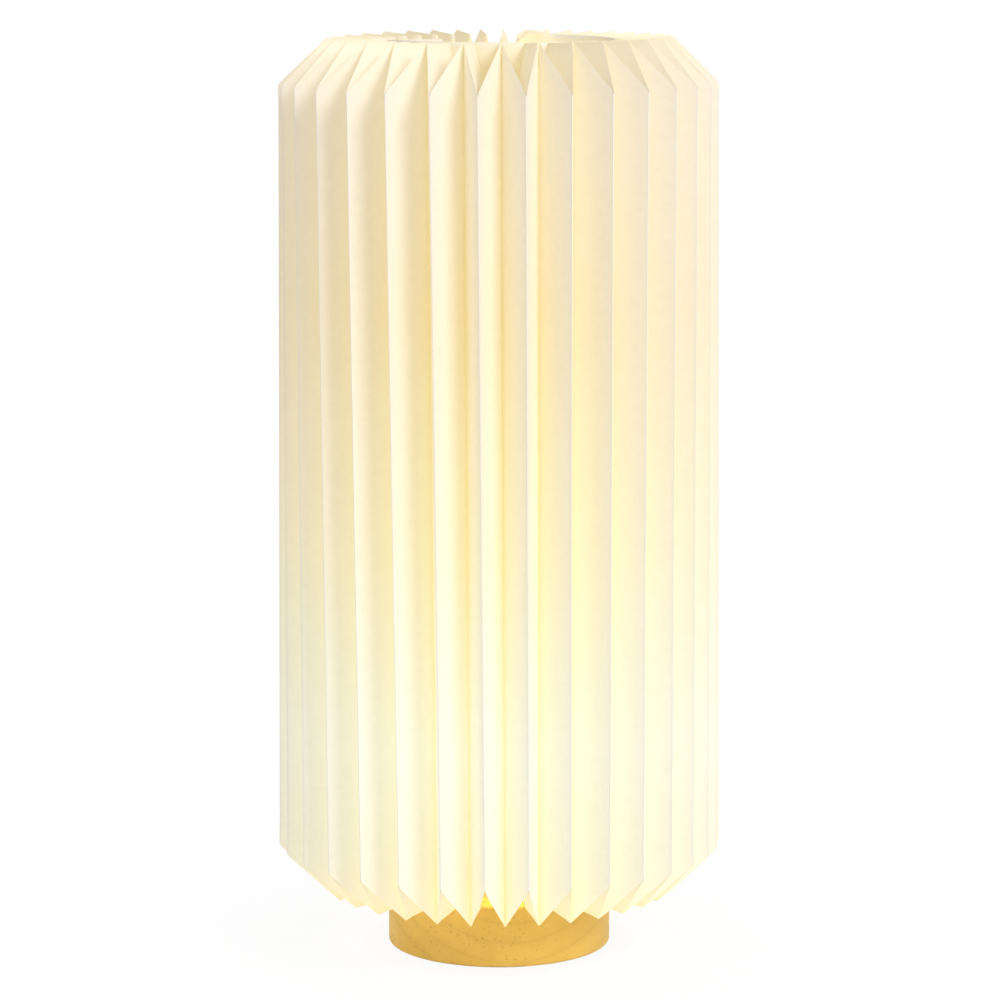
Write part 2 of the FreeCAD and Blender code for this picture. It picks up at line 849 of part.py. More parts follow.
def pleated_solid():
    """The folded sheet as one thin solid."""
    count = int(value("pleat_count"))
    half = value("paper_thickness") / 2
    ridges = [crease_points(i, True) for i in range(count)]
    valleys = [crease_points(i + 0.5, False) for i in range(count)]
    halves = []
    for i in range(count):
        halves.append(paper_facets(ridges[i], valleys[i]))
        halves.append(mirrored(paper_facets(ridges[(i + 1) % count], valleys[i])))

    def both_sides(column, step, beside):
        upper = pleat_angle(step, True)
        lower = pleat_angle(step, False)
        offsets = crease_offsets(column, [upper, upper, lower, lower], beside, half)
        outer = [p + d for p, d in zip(column, offsets)]
        inner = [p - d for p, d in zip(column, offsets)]
        return outer, inner

    outer_of = {}
    inner_of = {}
    for i in range(count):
        for column, step, beside in (
            (ridges[i], i, halves[2 * i]),
            (valleys[i], i + 0.5, halves[2 * i]),
        ):
            outer, inner = both_sides(column, step, beside)
            for point, out_point, in_point in zip(column, outer, inner):
                outer_of[id(point)] = out_point
                inner_of[id(point)] = in_point
    faces = []
    for triangles in halves:
        for a, b, c in triangles:
            faces.append(triangle_face(outer_of[id(a)], outer_of[id(b)], outer_of[id(c)]))
            faces.append(triangle_face(inner_of[id(a)], inner_of[id(c)], inner_of[id(b)]))
    for i in range(count):
        for ridge, valley in ((ridges[i], valleys[i]), (ridges[(i + 1) % count], valleys[i])):
            for end in (0, 3):
                a, b = ridge[end], valley[end]
                faces.append(triangle_face(outer_of[id(a)], outer_of[id(b)], inner_of[id(b)]))
                faces.append(triangle_face(outer_of[id(a)], inner_of[id(b)], inner_of[id(a)]))
    return closed_solid(faces)


def plate(rows, lift, thickness):
    """Thin sheet over rows of point pairs, from a lift along its normal to a thickness further."""
    low = []
    high = []
    for i, (left, right) in enumerate(rows):
        before = rows[max(i - 1, 0)][0]
        after = rows[min(i + 1, len(rows) - 1)][0]
        normal = (right - left).cross(after - before).normalize()
        low.append([p + normal * lift for p in (left, right)])
        high.append([p + normal * (lift + thickness) for p in (left, right)])
    quads = []
    for i in range(len(rows) - 1):
        quads.append((low[i][0], low[i + 1][0], low[i + 1][1], low[i][1]))
        quads.append((high[i][0], high[i][1], high[i + 1][1], high[i + 1][0]))
        quads.append((low[i][0], high[i][0], high[i + 1][0], low[i + 1][0]))
        quads.append((low[i][1], low[i + 1][1], high[i + 1][1], high[i][1]))
    for i in (0, len(rows) - 1):
        quads.append((low[i][0], low[i][1], high[i][1], high[i][0]))
    faces = []
    for a, b, c, d in quads:
        faces.append(triangle_face(a, b, c))
        faces.append(triangle_face(a, c, d))
    return closed_solid(faces)


def seam_strip():
    """Paper strip glued inside one panel at the back, where the sheet's two ends meet.

    The panel is bent a little along the diagonal from its ridge's foot to its valley's
    head, so the strip has a row of points there too.
    """
    ridge = crease_points(SEAM_PLEAT, True)
    valley = crease_points(SEAM_PLEAT - 0.5, False)
    across = Vector(ridge[1].x - valley[1].x, ridge[1].y - valley[1].y, 0)
    margin = value("tape_margin") / across.Length
    shares = (margin, 1 - margin)

    def along(start, end, height):
        return start + (end - start) * ((height - start.z) / (end.z - start.z))

    def upper(share, height):
        on_ridge = along(ridge[2], ridge[1], (height - valley[1].z * (1 - share)) / share)
        return valley[1] * (1 - share) + on_ridge * share

    def lower(share, height):
        on_valley = along(valley[2], valley[1], (height - ridge[2].z * share) / (1 - share))
        return on_valley * (1 - share) + ridge[2] * share

    rows = [
        [lower(share, value("shade_bottom + tape_end_gap")) for share in shares],
        [valley[1] * (1 - share) + ridge[2] * share for share in shares],
        [upper(share, value("shade_top - tape_end_gap")) for share in shares],
    ]
    lift = value("paper_thickness") / 2 + value("tape_gap")
    outward = (rows[0][1] - rows[0][0]).cross(Vector(0, 0, 1))
    if outward.dot(rows[0][0]) > 0:
        rows = [row[::-1] for row in rows]
    return plate(rows, lift, value("paper_thickness"))


def paper_parts():
    """Shade and its seam strip."""
    for name, solid in (("pleated_shade", pleated_solid()), ("seam_strip", seam_strip())):
        piece = doc.addObject("Part::Feature", name)
        piece.Shape = solid
        node(piece, name)


def mouth_band():
    """Open ring of paper inside the top mouth; its ends stand apart at the back left."""
    outer = cylinder("band_outside", "band_radius", "band_height", z="shade_top - band_top_gap - band_height",
                     rotation=FreeCAD.Rotation(Vector(0, 0, 1), value("band_start") - 90))
    bind(outer, Angle="band_sweep")
    inner = cylinder("band_inside", "band_radius - band_thickness", "band_height",
                     z="shade_top - band_top_gap - band_height")
    node(cut("mouth_band", outer, [inner]), "mouth_band")


def shade_carrier():
    """Flat ring with three welded wire arms that lie in grooves of the shade's bottom folds."""
    ring = turned(
        "carrier_ring",
        [
            ("carrier_bore", "holder_flange_top"),
            ("carrier_radius", "holder_flange_top"),
            ("carrier_radius", "holder_flange_top + carrier_thickness"),
            ("carrier_bore", "holder_flange_top + carrier_thickness"),
        ],
    )
    wires = []
    for pleat in ARM_PLEATS:
        azimuth = math.degrees(pleat_angle(pleat, False))
        turn = FreeCAD.Rotation(Vector(0, 0, 1), azimuth - 90).multiply(FreeCAD.Rotation(Vector(0, 1, 0), 90))
        arm = cylinder("carrier_arm", "arm_wire_radius", "arm_end - arm_start", rotation=turn)
        height = value("holder_flange_top + arm_bite - arm_wire_radius")
        arm.Placement.Base = on_lamp(value("arm_start"), math.radians(azimuth), height)
        wires.append(arm)
    node(fused("shade_carrier", [ring] + wires), "shade_carrier")


def check(item):
    """Stop if an object failed, or if a sub-part has no sound shape."""
    if "Invalid" in item.State or "Error" in item.State:
        raise RuntimeError("%s is %s" % (item.Label, item.State))


foot_pad()
wooden_base()
ballast()
ballast_screws()
bottom_cover()
cover_screws()
cord_grommet()
stem_parts()
holder_parts()
holder_contacts()
clamp_ring()
bulb_parts()
paper_parts()
mouth_band()
shade_carrier()
doc.recompute()

for item in doc.Objects:
    check(item)
os.makedirs("parts", exist_ok=True)
for item in nodes:
    shape = item.Shape
    if shape.isNull() or not shape.isValid() or not shape.Solids:
        raise RuntimeError("%s has no sound shape" % item.Label)
for item in nodes:
    item.Shape.exportStep("parts/%s.step" % item.Label)
    box = item.Shape.BoundBox
    print("%-20s %2d solid(s) %10.1f mm3  z %.2f to %.2f" % (
        item.Label, len(item.Shape.Solids), item.Shape.Volume, box.ZMin, box.ZMax))
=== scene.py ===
"""Looks of the pleated paper table lamp: folded sheet, wood, lampholder, bulb, light and camera.

Metres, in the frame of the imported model. The lamp stands on z = 0 and its front faces -Y.
"""

import json
import math
import random

import bpy
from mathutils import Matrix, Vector, noise


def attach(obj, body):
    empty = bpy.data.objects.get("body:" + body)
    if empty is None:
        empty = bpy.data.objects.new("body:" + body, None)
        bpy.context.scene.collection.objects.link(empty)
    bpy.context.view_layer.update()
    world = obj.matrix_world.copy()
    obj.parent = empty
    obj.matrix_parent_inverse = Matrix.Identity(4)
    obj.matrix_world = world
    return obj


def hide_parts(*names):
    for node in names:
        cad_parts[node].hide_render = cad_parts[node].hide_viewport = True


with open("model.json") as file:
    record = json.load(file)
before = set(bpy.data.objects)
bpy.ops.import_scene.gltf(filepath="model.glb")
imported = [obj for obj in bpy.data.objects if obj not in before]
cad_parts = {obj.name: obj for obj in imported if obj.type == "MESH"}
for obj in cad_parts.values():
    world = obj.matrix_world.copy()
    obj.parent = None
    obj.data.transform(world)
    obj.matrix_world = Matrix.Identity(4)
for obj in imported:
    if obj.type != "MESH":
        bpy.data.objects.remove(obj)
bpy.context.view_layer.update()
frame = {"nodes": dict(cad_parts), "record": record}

MM = 0.001

# ---------------------------------------------------------------- sizes of sheet, bulb and band

PLEATS = 35
RIDGE_RADIUS = 99.4 * MM
VALLEY_RADIUS = 77.7 * MM
TOP_SHARE = 0.974
SHADE_TOP = 408.4 * MM
SHADE_BOTTOM = 27.4 * MM
CORNER_DROP = 21.3 * MM
MOUTH_VALLEY_RADIUS = 52.8 * MM
MOUTH_VALLEY_DROP = 1.2 * MM
MOUTH_RIDGE_RADIUS = 54.1 * MM
MOUTH_RIDGE_DROP = 24.5 * MM
PAPER = 0.35 * MM
TOP_DRIFTS = ((0.169, 1, 0.306), (-0.025, 2, -0.501), (0.017, 3, 0.144))
BOTTOM_DRIFTS = ((0.107, 1, 0.954),)
PLEAT_TURN = -0.053
FIRST_PLEAT = 0.5
SEAM_PLEAT = 17
TIP_SAG = 1.6 * MM
TIP_SAG_TURN = -0.30
RIDGE_SAG_SHARE = 0.3
CREASE_HALF_WIDTH = 0.22 * MM
PANEL_BOW = 0.55 * MM
PANEL_WAVE = 0.35 * MM
SHARP_CREASE = 24.0
BULB_HEIGHT = 101.8 * MM

BAND_RADIUS = 51.12 * MM
BAND_PAPER = 0.26 * MM
BAND_WAVE = 0.12 * MM
BAND_BOTTOM = 386.5 * MM
BAND_LEVEL = 407.6 * MM
BAND_TILT = 0.40 * MM
BAND_RIPPLE = 0.12 * MM
BAND_LOW = 2.3 * MM
FLAP_LIFT = 1.7 * MM
FLAP_SLANT = 6.5 * MM
FLAP_CURL = 1.8 * MM

# places round the band, in degrees from the front
BAND_START = -150.0
BAND_END = 172.0
LOW_START = 55.0
LOW_END = 95.0
FLAP_START = 152.0
FLAP_RISE = 9.0
FLAP_CUT = 164.5
# painted light: the band's glow is made warmer at its loose flap and towards the front
FLAP_WARMTH_START = 149.0
FLAP_WARMTH_RISE = 5.0
FRONT_WARMTH = 38.0


# ---------------------------------------------------------------- node helpers


class Nodes:
    """A material whose nodes are made by short calls."""

    def __init__(self, name):
        self.material = bpy.data.materials.new(name)
        self.material.use_nodes = True
        self.tree = self.material.node_tree
        self.tree.nodes.clear()
        self.output = self.tree.nodes.new("ShaderNodeOutputMaterial")
        self.shader = self.tree.nodes.new("ShaderNodeBsdfPrincipled")
        self.tree.links.new(self.shader.outputs[0], self.output.inputs["Surface"])

    def feed(self, socket, value):
        """Set a socket to a number or colour, or link it to another socket."""
        if isinstance(value, bpy.types.NodeSocket):
            self.tree.links.new(value, socket)
        elif isinstance(value, (tuple, list)) and len(value) == 3 and socket.type == "RGBA":
            socket.default_value = (*value, 1.0)
        else:
            socket.default_value = value

    def add(self, kind, out=0, settings=None, **inputs):
        """Add a node and return one of its outputs. Inputs are named, or in0, in1 by place."""
        node = self.tree.nodes.new("ShaderNode" + kind)
        for name, value in (settings or {}).items():
            setattr(node, name, value)
        for name, value in inputs.items():
            by_place = name.startswith("in") and name[2:].isdigit()
            self.feed(node.inputs[int(name[2:]) if by_place else name], value)
        return node.outputs[out]

    def math(self, operation, a, b=0.0):
        """One arithmetic step."""
        return self.add("Math", settings={"operation": operation}, in0=a, in1=b)

    def ramp(self, factor, stops):
        """Colour ramp from (place, colour) stops."""
        node = self.tree.nodes.new("ShaderNodeValToRGB")
        elements = node.color_ramp.elements
        while len(elements) < len(stops):
            elements.new(0.5)
        for element, (place, colour) in zip(elements, stops):
            element.position = place
            element.color = (*colour, 1.0)
        self.feed(node.inputs[0], factor)
        return node.outputs[0]

    def span(self, value, low, high, to_low=0.0, to_high=1.0):
        """Clamped linear map."""
        return self.add("MapRange", Value=value, **{"From Min": low, "From Max": high,
                                                    "To Min": to_low, "To Max": to_high})

    def mix(self, factor, a, b, blend="MIX"):
        """Mix of two colours."""
        node = self.tree.nodes.new("ShaderNodeMix")
        node.data_type = "RGBA"
        node.blend_type = blend
        self.feed(node.inputs[0], factor)
        self.feed(node.inputs[6], a)
        self.feed(node.inputs[7], b)
        return node.outputs[2]

    def place(self, scale=(1, 1, 1)):
        """Coordinates of the object itself, in metres, stretched if asked."""
        coordinates = self.add("TexCoord", out=3)
        if scale == (1, 1, 1):
            return coordinates
        return self.add("Mapping", Vector=coordinates, Scale=scale)

    def noise(self, scale, detail=3.0, roughness=0.5, stretch=(1, 1, 1), distortion=0.0):
        """Noise with a scale in cells per metre."""
        return self.add("TexNoise", Vector=self.place(stretch), Scale=scale, Detail=detail,
                        Roughness=roughness, Distortion=distortion)

    def bump(self, height, distance, strength=1.0, under=None):
        """Bump normal from a height in the range 0 to 1 and a distance in metres."""
        inputs = {"Height": height, "Distance": distance, "Strength": strength}
        if under is not None:
            inputs["Normal"] = under
        return self.add("Bump", **inputs)

    def surface(self, **inputs):
        """Feed the shader's sockets: Base_Color stands for Base Color."""
        for name, value in inputs.items():
            self.feed(self.shader.inputs[name.replace("_", " ")], value)
        return self.material


# ---------------------------------------------------------------- materials


PAPER_COLOURS = ((0.610, 0.595, 0.565), (0.640, 0.625, 0.595))
RIDGE_HIGHLIGHT_COLOUR = (0.68, 0.67, 0.65)
CREASE_GLOW = 0.62
GLOW_BY_DEPTH = (
    (0.00, (0.82, 0.80, 0.85)),
    (0.30, (0.93, 0.90, 0.87)),
    (0.60, (1.02, 0.98, 0.90)),
    (0.85, (1.07, 1.03, 0.92)),
    (1.00, (1.03, 0.97, 0.58)),
)
GLOW_BY_HEIGHT = (
    (0.00, (0.455, 0.400, 0.212)),
    (0.07, (0.393, 0.379, 0.232)),
    (0.20, (0.396, 0.398, 0.268)),
    (0.42, (0.385, 0.345, 0.158)),
    (0.70, (0.342, 0.264, 0.092)),
    (1.00, (0.305, 0.250, 0.130)),
)


def paper_material(name, glow):
    """Uncoated paper that glows as if lit from inside.

    The glow is strongest low in the shade and warmest in the valleys. Along the ridges the glow is dimmer,
    and a painted highlight makes the paper paler there. The two ramps hold strengths of light.
    """
    nodes = Nodes(name)
    height = nodes.add("SeparateXYZ", out=2, Vector=nodes.place())
    by_height = nodes.ramp(nodes.span(height, SHADE_BOTTOM, SHADE_TOP), GLOW_BY_HEIGHT)
    depth = nodes.add("Attribute", out=2, settings={"attribute_name": "depth"})
    crease = nodes.add("Attribute", out=2, settings={"attribute_name": "crease"})
    by_depth = nodes.ramp(depth, GLOW_BY_DEPTH)
    cloud = nodes.span(nodes.noise(140, 4, 0.6), 0.3, 0.7, 0.98, 1.02)
    threads = nodes.noise(1400, 2, 0.6, stretch=(1, 1, 0.25), distortion=0.6)
    fibres = nodes.span(threads, 0.35, 0.7, 0.985, 1.015)
    lit = nodes.mix(1.0, by_height, by_depth, "MULTIPLY")
    strength = nodes.math("MULTIPLY", nodes.math("MULTIPLY", cloud, fibres), glow)
    strength = nodes.math("MULTIPLY", strength, nodes.span(crease, 0, 1, 1.0, CREASE_GLOW))
    mottled = nodes.mix(nodes.span(nodes.noise(260, 5, 0.65), 0.3, 0.7), PAPER_COLOURS[0], PAPER_COLOURS[1])
    # painted highlight: the paper is mixed paler along the ridges, where light catches the crests
    colour = nodes.mix(nodes.math("MULTIPLY", crease, 0.8), mottled, RIDGE_HIGHLIGHT_COLOUR)
    grain = nodes.bump(nodes.noise(2600, 3, 0.65, stretch=(1, 1, 0.35)), 0.00006, 0.5)
    waves = nodes.bump(nodes.noise(70, 2, 0.5, stretch=(1, 1, 0.3)), 0.0006, 0.35, under=grain)
    nodes.shader.inputs["Roughness"].default_value = 0.88
    nodes.shader.inputs["Specular IOR Level"].default_value = 0.15
    return nodes.surface(Base_Color=colour, Normal=waves, Emission_Color=lit, Emission_Strength=strength)


LATE_WOOD = (0.60, 0.33, 0.050)
BROAD_RING = (0.62, 0.36, 0.060)
PORE_COLOUR = (0.34, 0.17, 0.03)
FLECK_COLOUR = (0.50, 0.28, 0.05)
FIBRE_AND_SHEEN_COLOUR = (0.90, 0.66, 0.25)
RING_CENTRE_HEIGHT = 0.075
RING_WAVES = 698.0
PORES_END = 0.034
PORES_FULL = -0.012
WOOD_TONES = (
    (0.30, (0.800, 0.500, 0.092)),
    (0.55, (0.865, 0.555, 0.108)),
    (0.75, (0.900, 0.605, 0.130)),
)


def wood_material():
    """Pale oiled wood with growth arcs, and pores and flecks that thin out to the right."""
    nodes = Nodes("pale_wood")
    sway = nodes.noise(22, 2, 0.5)
    x, y, z = (nodes.add("SeparateXYZ", out=i, Vector=nodes.place()) for i in range(3))
    across = nodes.math("ADD", x, nodes.span(sway, 0, 1, -0.010, -0.002))
    above = nodes.math("SUBTRACT", z, RING_CENTRE_HEIGHT)
    squares = nodes.math("ADD", nodes.math("MULTIPLY", across, across), nodes.math("MULTIPLY", above, above))
    ring = nodes.math("SQRT", squares)
    bands = nodes.math("COSINE", nodes.math("MULTIPLY", ring, RING_WAVES))
    late = nodes.math("POWER", nodes.span(bands, 0, 1), 9.0)
    broad = nodes.span(bands, -1, 1)
    tone = nodes.ramp(nodes.noise(38, 4, 0.6, stretch=(1, 0.25, 1)), WOOD_TONES)
    tone = nodes.mix(nodes.math("MULTIPLY", late, 0.20), tone, LATE_WOOD)
    tone = nodes.mix(nodes.math("MULTIPLY", broad, 0.08), tone, BROAD_RING)
    patch = nodes.span(x, PORES_END, PORES_FULL, 0.20, 1.0)
    patch = nodes.math("MULTIPLY", patch, nodes.span(nodes.noise(55, 2, 0.5), 0.36, 0.56, 0.35, 1.0))
    pore = nodes.span(nodes.noise(1050, 2, 0.5, stretch=(1, 0.3, 0.8)), 0.630, 0.69)
    fleck = nodes.span(nodes.noise(420, 3, 0.6, stretch=(1, 0.3, 0.5), distortion=0.4), 0.63, 0.72)
    tone = nodes.mix(nodes.math("MULTIPLY", nodes.math("MULTIPLY", pore, patch), 0.62), tone, PORE_COLOUR)
    tone = nodes.mix(nodes.math("MULTIPLY", nodes.math("MULTIPLY", fleck, patch), 0.22), tone, FLECK_COLOUR)
    # pale streaks along the grain: partly the wood's own fibres, partly a painted sheen
    fine = nodes.span(nodes.noise(2400, 2, 0.5, stretch=(1, 0.08, 1)), 0.35, 0.65, -1.0, 1.0)
    tone = nodes.mix(nodes.span(fine, -1, 1, 0.0, 0.10), tone, FIBRE_AND_SHEEN_COLOUR)
    dents = nodes.bump(nodes.math("ADD", pore, fleck), 0.00012, 0.5)
    dents = nodes.bump(nodes.noise(1800, 3, 0.6, stretch=(1, 0.1, 1)), 0.00005, 0.5, under=dents)
    rough = nodes.span(nodes.noise(300, 3), 0.3, 0.7, 0.42, 0.56)
    nodes.shader.inputs["Specular IOR Level"].default_value = 0.35
    return nodes.surface(Base_Color=tone, Roughness=rough, Normal=dents)


def speckled(name, dark, light, roughness, scale, depth=0.00004,
             metallic=0.0, stretch=(1, 1, 1), level=0.5):
    """A finish with fine mottling, uneven gloss and a little relief."""
    nodes = Nodes(name)
    colour = nodes.mix(nodes.span(nodes.noise(scale, 4, 0.6, stretch=stretch), 0.3, 0.7), dark, light)
    uneven = nodes.noise(scale * 0.6, 3, 0.5, stretch=stretch)
    rough = nodes.span(uneven, 0.3, 0.7, roughness - 0.07, roughness + 0.07)
    relief = nodes.bump(nodes.noise(scale * 2.5, 3, 0.6, stretch=stretch), depth, 0.4)
    nodes.shader.inputs["Metallic"].default_value = metallic
    nodes.shader.inputs["Specular IOR Level"].default_value = level
    return nodes.surface(Base_Color=colour, Roughness=rough, Normal=relief)


def felt_material():
    """Dark felt: tangled short fibres."""
    nodes = Nodes("felt")
    tangle = nodes.noise(2200, 5, 0.75, distortion=1.5)
    colour = nodes.mix(nodes.span(tangle, 0.3, 0.7), (0.018, 0.017, 0.016), (0.060, 0.057, 0.053))
    fuzz = nodes.bump(tangle, 0.0003, 0.8)
    nodes.shader.inputs["Sheen Weight"].default_value = 0.35
    nodes.shader.inputs["Sheen Roughness"].default_value = 0.6
    nodes.shader.inputs["Roughness"].default_value = 0.95
    return nodes.surface(Base_Color=colour, Normal=fuzz)


def diffuser_material():
    """Opal globe of the lit bulb."""
    nodes = Nodes("opal_diffuser")
    haze = nodes.span(nodes.noise(120, 3, 0.5), 0.3, 0.7, 0.56, 0.62)
    nodes.shader.inputs["Roughness"].default_value = 0.35
    return nodes.surface(
        Base_Color=(0.62, 0.60, 0.55), Emission_Color=(1.0, 0.90, 0.62), Emission_Strength=haze
    )


def make_materials():
    """Every finish, by slot name."""
    plated = {"metallic": 1.0, "stretch": (1, 1, 6)}
    finishes = {
        "steel": ("zinc_plated_steel", (0.42, 0.43, 0.46), (0.60, 0.61, 0.62), 0.34, 500, plated),
        "cover_paint": ("black_powder_coat", (0.015, 0.015, 0.016), (0.030, 0.030, 0.031), 0.55, 1500,
                        {"depth": 0.00008}),
        "grommet_rubber": ("black_rubber", (0.012, 0.012, 0.012), (0.028, 0.027, 0.027), 0.72, 900,
                           {"level": 0.3}),
        "brass": ("brass", (0.60, 0.41, 0.15), (0.74, 0.54, 0.23), 0.30, 600, plated),
        "holder_plastic": ("white_moulded_plastic", (0.66, 0.64, 0.60), (0.72, 0.70, 0.66), 0.42, 1300, {}),
        "holder_ceramic": ("unglazed_ceramic", (0.62, 0.59, 0.54), (0.70, 0.67, 0.62), 0.62, 1100,
                           {"depth": 0.00007}),
        "carrier_wire": ("white_powder_coat", (0.64, 0.63, 0.60), (0.71, 0.70, 0.67), 0.48, 1600,
                         {"depth": 0.00008}),
        "bulb_plastic": ("bulb_housing_plastic", (0.70, 0.69, 0.66), (0.76, 0.75, 0.72), 0.38, 1200, {}),
        "bulb_cap_metal": ("nickel_plated_cap", (0.58, 0.57, 0.55), (0.70, 0.69, 0.66), 0.24, 700, plated),
        "cap_glass": ("black_cap_glass", (0.010, 0.010, 0.014), (0.020, 0.020, 0.026), 0.12, 400, {}),
        "led_board": ("white_solder_mask", (0.68, 0.68, 0.67), (0.75, 0.75, 0.74), 0.36, 800, {}),
        "circuit_board": ("green_circuit_board", (0.020, 0.085, 0.030), (0.035, 0.120, 0.045), 0.40, 700,
                          {}),
    }
    by_slot = {
        "paper": paper_material("shade_paper", 1.0),
        "tape_paper": paper_material("tape_paper", 0.95),
        "wood": wood_material(),
        "felt": felt_material(),
        "bulb_diffuser": diffuser_material(),
    }
    for slot, (name, dark, light, roughness, scale, more) in finishes.items():
        by_slot[slot] = speckled(name, dark, light, roughness, scale, **more)
    return by_slot


# ---------------------------------------------------------------- thin skins


def thin_skin(name, vertices, faces, attributes, material):
    """Smooth mesh object with one number per point for each named attribute."""
    mesh = bpy.data.meshes.new(name)
    mesh.from_pydata([tuple(vertex) for vertex in vertices], [], faces)
    for attribute, values in attributes.items():
        layer = mesh.attributes.new(attribute, "FLOAT", "POINT")
        layer.data.foreach_set("value", values)
    mesh.materials.append(material)
    piece = bpy.data.objects.new(name, mesh)
    bpy.context.scene.collection.objects.link(piece)
    mesh.shade_smooth()
    return piece


def thicken(piece, thickness, offset):
    """Give a skin its paper's thickness: offset 0 is half to each side, -1 against its normals."""
    sheet = piece.modifiers.new("sheet", "SOLIDIFY")
    sheet.thickness = thickness
    sheet.offset = offset
    return sheet


# ---------------------------------------------------------------- folded sheet


def pleat_angle(step, drifts):
    """Angle of a crease from the front, counted in pleats; the pleats bunch up here and there."""
    even = 2 * math.pi * (step + FIRST_PLEAT) / PLEATS
    drift = sum(amount * math.sin(waves * even + phase) for amount, waves, phase in drifts)
    return even + drift + PLEAT_TURN


def on_lamp(radius, angle, height):
    """Point at a radius and height, at an angle from the front."""
    return Vector((radius * math.sin(angle), -radius * math.cos(angle), height))


def crease_column(step, ridge):
    """Corner points of one crease line, from the top mouth to the bottom one."""
    radius = RIDGE_RADIUS if ridge else VALLEY_RADIUS
    drop = CORNER_DROP if ridge else 0.0
    mouth_radius = MOUTH_RIDGE_RADIUS if ridge else MOUTH_VALLEY_RADIUS
    mouth_drop = MOUTH_RIDGE_DROP if ridge else MOUTH_VALLEY_DROP
    upper = pleat_angle(step, TOP_DRIFTS)
    lower = pleat_angle(step, BOTTOM_DRIFTS)
    sag = TIP_SAG * max(0.0, -math.sin(upper + TIP_SAG_TURN)) ** 2 * (RIDGE_SAG_SHARE if ridge else 1.0)
    return [
        on_lamp(mouth_radius * TOP_SHARE, upper, SHADE_TOP - mouth_drop),
        on_lamp(radius * TOP_SHARE, upper, SHADE_TOP - drop - sag),
        on_lamp(radius, lower, SHADE_BOTTOM + drop),
        on_lamp(mouth_radius, lower, SHADE_BOTTOM + mouth_drop),
    ]


def row_shares(start, end, rows):
    """Even shares of a stretch, both ends included."""
    return [start + (end - start) * i / rows for i in range(rows + 1)]


ACROSS = (0.0, 0.10, 0.24, 0.40, 0.56, 0.72, 0.86, 0.95, 1.0)
MOUTH_ROWS = 5
PANEL_ROWS = 30


def panel_point(valley, ridge, share, part, along):
    """Point of a half pleat: share 0 at the valley and 1 at the ridge; part is the stretch."""
    low = valley[part].lerp(valley[part + 1], along)
    high = ridge[part].lerp(ridge[part + 1], along)
    return low.lerp(high, share)


def panel_grid(valley, ridge, seed, towards):
    """Rows of points over a half pleat, mouth to mouth, gently bowed like real paper.

    Each point also carries its depth, 1 in the valley, and whether it is on the ridge. The
    two outer columns stop short of their creases by half the width of a rounded edge. The
    half pleat with the glued seam isn't bowed, so that the strip inside it doesn't show.
    """
    mouth_rows = row_shares(0.0, 1.0, MOUTH_ROWS)
    main_rows = row_shares(0.0, 1.0, PANEL_ROWS)
    stretches = [(0, along) for along in mouth_rows]
    stretches += [(1, along) for along in main_rows[1:]]
    stretches += [(2, along) for along in mouth_rows[1:]]
    width = (ridge[1] - valley[1]).length
    normal = (ridge[2] - valley[2]).cross(valley[1] - valley[2]).normalized() * towards
    sway = random.Random(seed)
    bow = PANEL_BOW * (0.35 + 0.65 * sway.random()) * (1 if sway.random() < 0.7 else -0.6)
    slack = 0.0 if seed == 2 * SEAM_PLEAT else 1.0
    rows = []
    for part, along in stretches:
        row = []
        for share in ACROSS:
            inset = CREASE_HALF_WIDTH / width
            held = inset + share * (1 - 2 * inset)
            point = panel_point(valley, ridge, held, part, along)
            if part == 1:
                ends = math.sin(math.pi * along) ** 0.35 if 0 < along < 1 else 0.0
                lift = bow * 4 * share * (1 - share) * ends
                wave = noise.noise(Vector((seed * 3.7, share * 1.6, point.z * 26.0)))
                lift += PANEL_WAVE * wave * 4 * share * (1 - share) * ends
                point = point + normal * lift * slack
            edge = 1.0 if share == 1.0 else 0.0
            row.append((point, 1.0 - share, edge))
        rows.append(row)
    return rows


def build_shade(material):
    """The whole folded sheet as one thin closed skin."""
    vertices = []
    faces = []
    depths = []
    creases = []

    def lay(rows):
        base = len(vertices)
        for row in rows:
            for point, depth, edge in row:
                vertices.append(point)
                depths.append(depth)
                creases.append(edge)
        return base

    columns = len(ACROSS)
    grids = []
    for i in range(PLEATS):
        valley_before = crease_column(i - 0.5, False)
        ridge = crease_column(i, True)
        valley_after = crease_column(i + 0.5, False)
        left = panel_grid(valley_before, ridge, 2 * i, -1)
        right = [row[::-1] for row in panel_grid(valley_after, ridge, 2 * i + 1, 1)]
        grids.append(lay(left))
        grids.append(lay(right))
    rows = 1 + MOUTH_ROWS + PANEL_ROWS + MOUTH_ROWS
    for index, base in enumerate(grids):
        following = grids[(index + 1) % len(grids)]
        for r in range(rows - 1):
            for c in range(columns - 1):
                a = base + r * columns + c
                faces.append((a, a + columns, a + columns + 1, a + 1))
            last = base + r * columns + columns - 1
            first = following + r * columns
            faces.append((last, last + columns, first + columns, first))
    attributes = {"depth": depths, "crease": creases}
    shade = thin_skin("paper_shade", vertices, faces, attributes, material)
    shade.data.set_sharp_from_angle(angle=math.radians(SHARP_CREASE))
    thicken(shade, PAPER, 0.0).use_even_offset = True
    return shade


# ---------------------------------------------------------------- paper band in the top mouth


BAND_COLUMNS = 216
BAND_ROWS = 10


def eased(value, start, end):
    """Smooth step from 0 at the start to 1 at the end."""
    share = min(max((value - start) / (end - start), 0.0), 1.0)
    return share * share * (3 - 2 * share)


def band_top(angle):
    """Height of the band's top edge: level in front, low at the back left, lifted at the flap.

    The flap's corner is cut off at a slant.
    """
    turned = math.radians(angle)
    level = BAND_LEVEL - BAND_TILT * math.sin(turned) + BAND_RIPPLE * math.sin(3 * turned + 0.7)
    low = BAND_LOW * eased(-angle, LOW_START, LOW_END)
    lift = FLAP_LIFT * eased(angle, FLAP_START, FLAP_START + FLAP_RISE)
    slant = FLAP_SLANT * max(0.0, (angle - FLAP_CUT) / (BAND_END - FLAP_CUT)) ** 1.2
    return level - low + lift - slant


